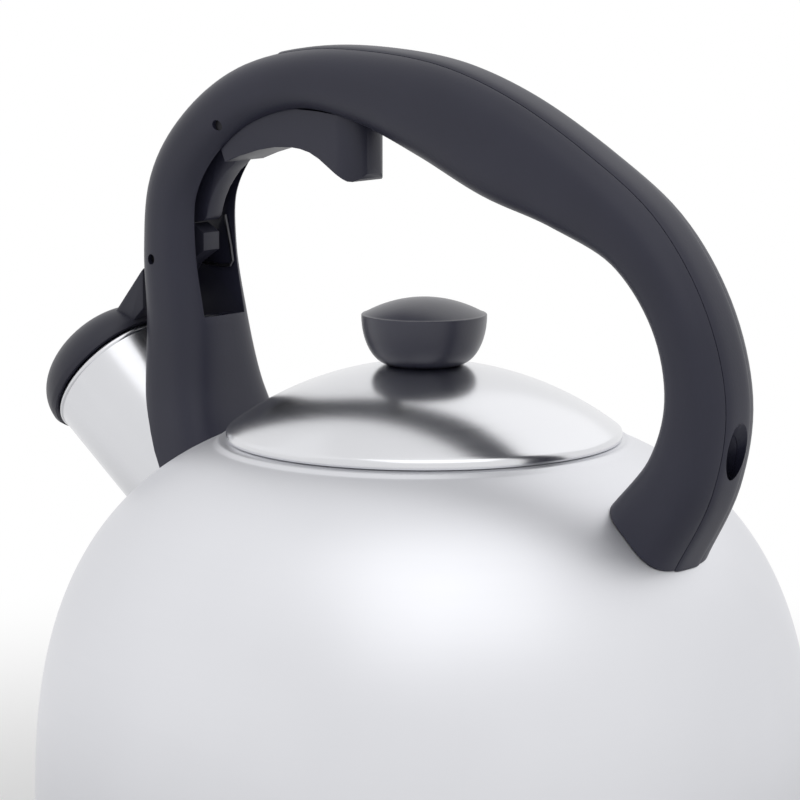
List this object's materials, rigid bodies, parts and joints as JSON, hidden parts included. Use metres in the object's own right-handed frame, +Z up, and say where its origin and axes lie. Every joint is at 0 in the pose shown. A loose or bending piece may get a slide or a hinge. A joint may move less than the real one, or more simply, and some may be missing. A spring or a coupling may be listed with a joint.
{
  "type": "stovetop whistling kettle",
  "caption": "Domed steel stovetop kettle with lift-off lid, fixed loop handle, finger trigger and a hinged whistle cap on a short slanting spout.",
  "frame": {"origin": "centre of the flat underside of the base, on the body's vertical axis", "axes": "+Z up, -X towards the spout, the handle stands in the XZ plane, +Y to the right seen from behind the spout"},
  "size_m": [0.2466, 0.218, 0.2505],
  "materials": {
    "kettle_steel": "satin",
    "lid_steel": "satin",
    "spreader_aluminium": "matt",
    "fixing_steel": "plain",
    "spring_steel": "bright wire",
    "whistle_steel": "satin",
    "handle_plastic": "soft satin",
    "trigger_plastic": "soft satin",
    "cap_plastic": "soft satin",
    "knob_plastic": "soft satin",
    "insert_brass": "machined"
  },
  "bodies": {
    "kettle": {"body_shell": "kettle_steel", "base_spreader": "spreader_aluminium", "base_capsule": "kettle_steel", "spout": "kettle_steel", "front_boss": "fixing_steel", "rear_boss": "fixing_steel", "handle_grip": "handle_plastic", "handle_strip": "handle_plastic", "front_screw": "fixing_steel", "front_washer": "fixing_steel", "rear_screw": "fixing_steel", "rear_washer": "fixing_steel", "trigger_pin": "fixing_steel", "cap_pin": "fixing_steel", "cap_spring": "spring_steel"},
    "trigger": {"trigger": "trigger_plastic"},
    "cap": {"cap_shell": "cap_plastic", "whistle_cup": "whistle_steel", "whistle_plate": "whistle_steel"},
    "lid": {"lid_dome": "lid_steel", "lid_skirt": "lid_steel", "knob": "knob_plastic", "knob_insert": "insert_brass", "knob_screw": "fixing_steel", "knob_washer": "fixing_steel"}
  },
  "joints": [
    {"name": "trigger_squeeze", "type": "hinge", "parent": "kettle", "child": "trigger", "pos_m": [-0.066, 0, 0.227], "axis": [0, -1, 0], "range_deg": [0, 13]},
    {"name": "cap_open", "type": "hinge", "parent": "kettle", "child": "cap", "pos_m": [-0.0915, 0, 0.187], "axis": [0, 1, 0], "range_deg": [0, 36.5], "stiffness_Nm_per_rad": 0.05, "springref_deg": -34.38},
    {"name": "lid_lift", "type": "slide", "parent": "kettle", "child": "lid", "axis": [0, 0, 1], "range_m": [0, 0.028]}
  ],
  "couplings": [
    {"joint": "cap_open", "follows": "trigger_squeeze", "ratio": 2.8}
  ]
}
